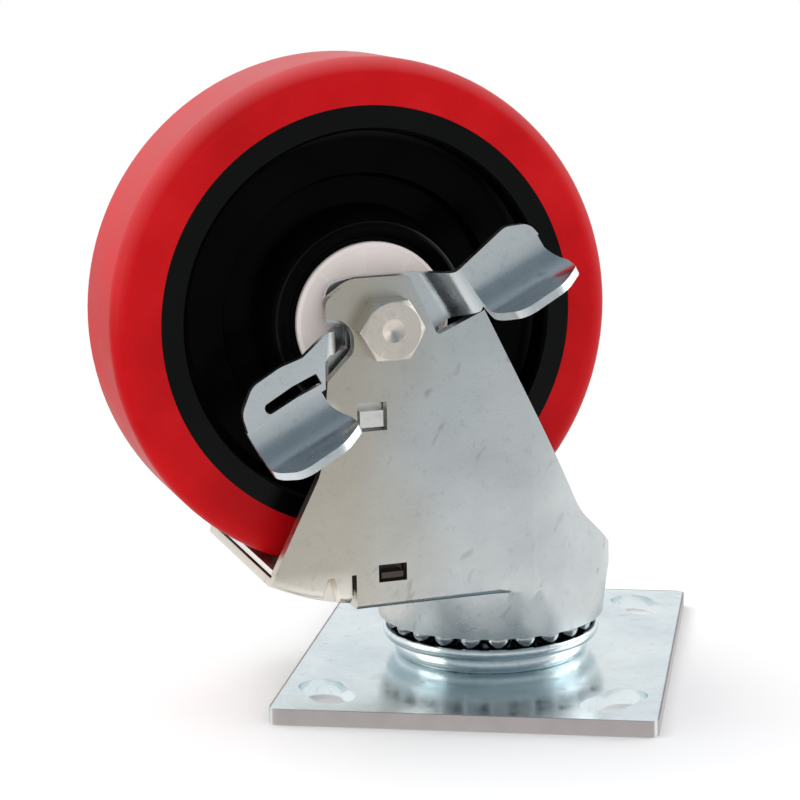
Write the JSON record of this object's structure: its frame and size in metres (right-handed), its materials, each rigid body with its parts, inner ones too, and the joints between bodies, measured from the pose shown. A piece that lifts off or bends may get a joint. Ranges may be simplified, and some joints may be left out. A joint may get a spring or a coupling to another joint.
{
  "type": "swivel castor",
  "caption": "Swivel plate castor with a red tread on a dark core, a zinc plated fork and a side brake worked by two pedals; shown standing on its plate.",
  "frame": {"origin": "swivel axis at the underside of the mounting plate, the face that meets the load", "axes": "+Z along the swivel axis from the plate towards the wheel, X and Y along the plate's short and long sides; the fork is turned 27.8 degrees about +Z from -X, lever side towards -Y"},
  "size_m": [0.143, 0.1299, 0.16],
  "materials": {
    "zinc_bright": "bright zinc plate",
    "zinc_pressed": "zinc plated pressing",
    "steel_hard": "hardened steel",
    "steel_ball": "polished",
    "bolt_zinc": "zinc plate",
    "tread_red": "satin polyurethane",
    "core_black": "moulded",
    "nylon_white": "moulded"
  },
  "bodies": {
    "plate": {"top_plate": "zinc_bright", "lower_race": "zinc_pressed", "kingpin": "bolt_zinc", "load_washer": "steel_hard", "kingpin_nut": "bolt_zinc"},
    "main_race": {"main_balls": "steel_ball"},
    "upper_race": {"upper_balls": "steel_ball"},
    "fork": {"fork": "zinc_pressed", "axle_bolt": "bolt_zinc", "axle_nut": "bolt_zinc", "lever_washer_inner": "steel_hard", "lever_washer_outer": "steel_hard", "spacer_collar": "steel_hard", "spanner_bushing": "steel_hard"},
    "wheel": {"tread": "tread_red", "wheel_core": "core_black", "bearing_sleeve": "steel_hard", "thread_guard_near": "nylon_white", "thread_guard_far": "nylon_white"},
    "rollers": {"bearing_rollers": "steel_ball"},
    "lever": {"brake_lever": "zinc_bright", "lever_pin": "steel_hard"},
    "shoe": {"brake_shoe": "zinc_bright"}
  },
  "joints": [
    {"name": "swivel", "type": "hinge", "parent": "plate", "child": "fork", "pos_m": [0, 0, 0.01], "axis": [0, 0, 1], "continuous": true},
    {"name": "main_race_turn", "type": "hinge", "parent": "plate", "child": "main_race", "pos_m": [0, 0, 0.0127], "axis": [0, 0, 1], "continuous": true},
    {"name": "upper_race_turn", "type": "hinge", "parent": "plate", "child": "upper_race", "pos_m": [0, 0, 0.0198], "axis": [0, 0, 1], "continuous": true},
    {"name": "wheel_spin", "type": "hinge", "parent": "fork", "child": "wheel", "pos_m": [-0.03273, -0.01726, 0.0965], "axis": [-0.4664, 0.8846, 0], "continuous": true},
    {"name": "roller_turn", "type": "hinge", "parent": "fork", "child": "rollers", "pos_m": [-0.03273, -0.01726, 0.0965], "axis": [-0.4664, 0.8846, 0], "continuous": true},
    {"name": "lever_turn", "type": "hinge", "parent": "fork", "child": "lever", "pos_m": [-0.03273, -0.01726, 0.0965], "axis": [0.4664, -0.8846, 0], "range_deg": [0, 10]},
    {"name": "shoe_lift", "type": "slide", "parent": "fork", "child": "shoe", "axis": [0, 0, 1], "range_m": [0, 0.00133], "stiffness_N_per_m": 5, "springref_m": 0.044}
  ],
  "couplings": [
    {"joint": "main_race_turn", "follows": "swivel", "ratio": 0.5},
    {"joint": "upper_race_turn", "follows": "swivel", "ratio": 0.5},
    {"joint": "roller_turn", "follows": "wheel_spin", "ratio": 0.6},
    {"joint": "shoe_lift", "follows": "lever_turn", "m_per_rad": 0.0076}
  ]
}
